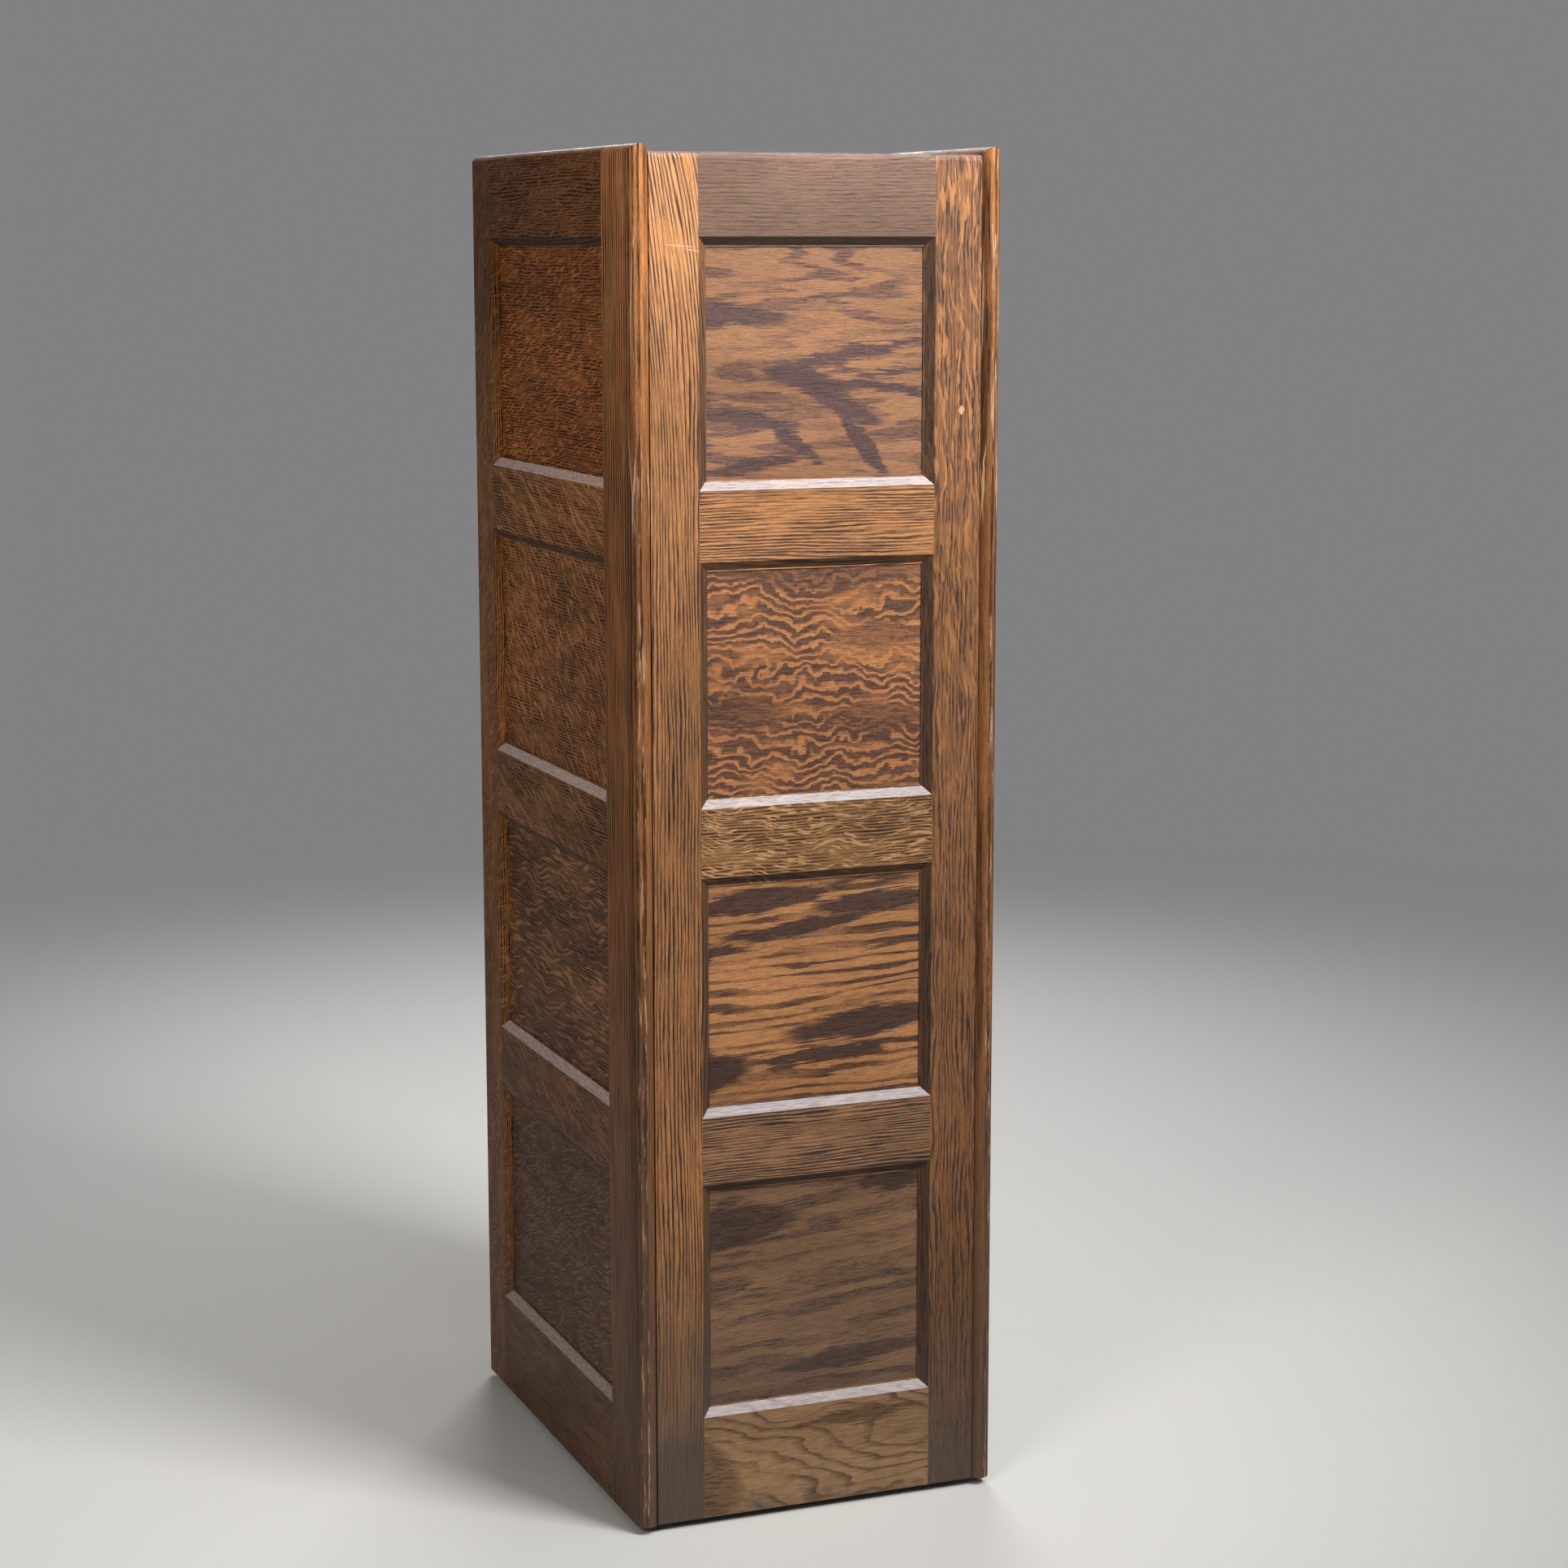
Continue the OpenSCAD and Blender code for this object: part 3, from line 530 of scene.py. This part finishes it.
def dress_sides():
    """Both sides are the same. Their panels and middle rails are numbered from the floor up."""
    # painted light: the panels grow lighter and more orange from the floor up, as light falls off towards
    # the floor, on top of their own tones
    panels = [
        dict(light=(0.135, 0.062, 0.029), ray=(22, 2.4, 20, 5, 0.85, 1.0)),
        dict(light=(0.17, 0.074, 0.029), ray=(34, 3.2, 0, 10, 0.9, 1.0)),
        dict(light=(0.25, 0.095, 0.03), ray=(20, 2.6, -38, 4, 1.0, 1.0)),
        dict(light=(0.25, 0.077, 0.015), ray=(18, 2.2, 14, 5, 0.85, 1.0)),
    ]
    panels = [oak(f"side_panel_{k + 1}", "yzx", 20 + k, **look, **SIDE) for k, look in enumerate(panels)]
    # painted light: the middle rails likewise grow lighter towards the top
    rail_lights = [(0.19, 0.08, 0.03), (0.2, 0.084, 0.03), (0.25, 0.1, 0.03)]
    rail_ray = (30, 2.5, -24, 5, 0.8, 0.7)
    mid_rails = [oak(f"side_rail_{k + 1}", "yzx", 30 + k, light=light, ray=rail_ray, **SIDE)
                 for k, light in enumerate(rail_lights)]
    # painted light: this rail is darker near the case's top
    top_rail = oak("side_rail_top", "yzx", 34, light=(0.22, 0.076, 0.018), painted_top_light=0.7,
                   ray=(18, 2.2, 14, 5, 0.55, 1.0), **SIDE)
    bottom_rail = oak("side_rail_bottom", "yzx", 35, light=(0.2, 0.088, 0.036),
                      ray=(20, 2.0, -14, 6, 0.3, 1.0), **SIDE)
    # painted light: this stile is darker near the case's top
    front_stile = oak("side_stile_front", "zyx", 36, light=(0.24, 0.098, 0.032), painted_top_light=0.55,
                      # a worn line with a painted highlight along the front stile's arris
                      ray=(16, 2, 50, 14, 0.4, 1.0), wear_and_highlight=[("y", 240, 246), ("x", 182, 188)],
                      **{**SIDE, "pith": (1400, 900)})
    # painted light: this stile is lighter near the case's top
    back_stile = oak("side_stile_back", "zyx", 37, light=(0.28, 0.11, 0.035), painted_top_light=1.7, gloss=0.05,
                     # painted shade in the moulding and in the groove beside the nose
                     shaded_hollows=[("y", 173.8, 183.3, 0.7), ("y", 248, 266, 0.38)],
                     # a worn line with a painted highlight along the back stile's nose
                     wear_and_highlight=[("y", 257, 266), ("x", 177, 184)],
                     marks=[(1036, 259, 60, 0.8, -4), (1008, 262, 40, 0.9, 2), (1180, 261, 50, 0.9, 1)],
                     floor_dirt_and_shade=(0.65, 800), **STRIPED)
    for side in ("left", "right"):
        dress(f"{side}_panels", *panels, pick=tier_of)
        dress(f"{side}_mid_rails", *mid_rails, pick=rail_of)
        dress(f"{side}_top_rail", top_rail)
        dress(f"{side}_bottom_rail", bottom_rail)
        dress(f"{side}_front_stile", front_stile)
        dress(f"{side}_back_stile", back_stile)


def dress_boards():
    inside = oak("inside_board", "xyz", 40, ring=12, light=TAN, pith=(0, 0), gloss=0.05)
    for node in ("shelf_1", "shelf_2", "shelf_3", "base_board", "corner_blocks", "base_cleats"):
        dress(node, inside)
    for node in ("front_top_rail", "front_base_rail"):
        dress(node, oak(node, "xzy", 41, **RIFT))
    dress("top_board", oak("top_board", "yxz", 42, ring=16, band_ink=0.5, light=AMBER, pith=(0, 60),
                           floor_dirt_and_shade=CLEAN_AND_UNSHADED, gloss=0.05, rough=(0.85, 0.95)))
    for node in ("base_screws", "glides"):
        dress(node, steel)


def dress_doors():
    upright = oak("door_stiles", "zxy", 50, **DOOR)
    level = oak("door_rails", "xzy", 51, **DOOR)
    for k in range(1, TIERS + 1):
        dress(f"door_{k}_stiles", upright)
        dress(f"door_{k}_rails", level)
        dress(f"door_{k}_beads", level)
        dress(f"door_{k}_glass", glass)
        # clear glass throws next to no shadow
        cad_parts[f"door_{k}_glass"].visible_shadow = False
        dress(f"door_{k}_knobs", brass)
        dress(f"door_{k}_pivot_shoes", brass)
        dress(f"door_{k}_pivot_rod", steel)


def soften(node):
    """Rounds a wooden piece's arrises a little."""
    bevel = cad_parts[node].modifiers.new("arris", "BEVEL")
    bevel.width = ARRIS
    bevel.segments = 2
    bevel.limit_method = "ANGLE"
    bevel.angle_limit = math.radians(ARRIS_ANGLE)
    bevel.harden_normals = True


# ---------------------------------------------------------------- studio
SKY = (0.22, 0.22, 0.225)
SKY_STRENGTH = 1.0
SKY_OVERHEAD = 0.2 * SKY_STRENGTH
SKY_DIMS = (0.1, 0.5)
FLOOR = (0.60, 0.60, 0.59)

# The floor's radius in metres, and the distances in millimetres between which it fades.
FLOOR_RADIUS = 60
FLOOR_FADES = (600, 3600)

# place, what it points at, side, power, colour and spread
LIGHTS = {
    "key": ((-0.8, 1.6, 2.1), (0, 0.26, 1.4), 0.8, 27, (1.0, 0.98, 0.95), 100),
    "overhead": ((-0.3, 1.1, 3.0), (0, 0.2, 0.6), 1.4, 30, (0.96, 0.98, 1.0), 180),
    "fill": ((2.0, 2.0, 1.9), (0.1, 0.1, 0.9), 0.9, 15, (1.0, 0.93, 0.84), 120),
    "front": ((-1.0, -2.6, 1.9), (0, -0.25, 0.7), 1.2, 60, (1.0, 0.98, 0.96), 180),
}

CAMERA_PLACE = Vector((1181.5, 3136.9, 1236.0)) * MM
CAMERA_AZIMUTH = 158.271
CAMERA_ELEVATION = 9.267
CAMERA_ROLL = -0.047
CAMERA_LENS = 75.6
CAMERA_SENSOR = 36.0


def studio_floor():
    """A pale floor round the case, which fades into the sky."""
    bpy.ops.mesh.primitive_circle_add(vertices=96, radius=FLOOR_RADIUS, fill_type="NGON", location=(0, 0, 0))
    floor = bpy.context.object
    floor.name = "studio_floor"
    s = Shader("pale_floor")
    x, y, z = s.place()
    far = s.span(s.math("SQRT", s.add(s.mul(x, x), s.mul(y, y))), *FLOOR_FADES)
    s.set(Base_Color=s.mix(far, FLOOR, (0.0, 0.0, 0.0)), Roughness=0.75, Specular_IOR_Level=0.0,
          Emission_Color=(*SKY, 1.0), Emission_Strength=s.mul(far, SKY_STRENGTH))
    floor.data.materials.append(s.material)


def sky():
    """Pale all round the horizon, and dim overhead."""
    world = bpy.data.worlds.new("studio")
    world.use_nodes = True
    tree = world.node_tree
    coords = tree.nodes.new("ShaderNodeTexCoord")
    split = tree.nodes.new("ShaderNodeSeparateXYZ")
    height = tree.nodes.new("ShaderNodeMapRange")
    height.interpolation_type = "SMOOTHSTEP"
    for socket, number in zip(height.inputs[1:5], (*SKY_DIMS, SKY_STRENGTH, SKY_OVERHEAD)):
        socket.default_value = number
    tree.links.new(coords.outputs["Generated"], split.inputs[0])
    tree.links.new(split.outputs["Z"], height.inputs["Value"])
    background = tree.nodes["Background"]
    background.inputs["Color"].default_value = (*SKY, 1.0)
    tree.links.new(height.outputs[0], background.inputs["Strength"])
    bpy.context.scene.world = world


def soft_light(name, place, target, side, power, colour, spread):
    data = bpy.data.lights.new(name, "AREA")
    data.shape = "RECTANGLE"
    data.size = side
    data.size_y = side
    data.energy = power
    data.color = colour
    data.spread = math.radians(spread)
    lamp = bpy.data.objects.new(name, data)
    lamp.location = place
    lamp.rotation_euler = (Vector(target) - Vector(place)).to_track_quat("-Z", "Y").to_euler()
    lamp.visible_camera = False
    bpy.context.collection.objects.link(lamp)


def camera():
    """Stands behind the case and to its right side, a little below its top, looking down."""
    azimuth, elevation = math.radians(CAMERA_AZIMUTH), math.radians(CAMERA_ELEVATION)
    data = bpy.data.cameras.new("camera")
    data.sensor_width = CAMERA_SENSOR
    data.lens = CAMERA_LENS
    cam = bpy.data.objects.new("camera", data)
    forward = Vector((-math.sin(azimuth) * math.cos(elevation),
                      math.cos(azimuth) * math.cos(elevation), -math.sin(elevation)))
    turn = forward.to_track_quat("-Z", "Y").to_matrix().to_4x4()
    roll = Matrix.Rotation(math.radians(CAMERA_ROLL), 4, "Z")
    cam.matrix_world = Matrix.Translation(CAMERA_PLACE) @ turn @ roll
    bpy.context.collection.objects.link(cam)
    bpy.context.scene.camera = cam


dress_back()
dress_sides()
dress_boards()
dress_doors()
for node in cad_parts:
    if not node.endswith(NOT_WOOD):
        soften(node)

studio_floor()
sky()
for name, light in LIGHTS.items():
    soft_light(name, *light)
camera()
bpy.context.scene.view_settings.view_transform = "Standard"
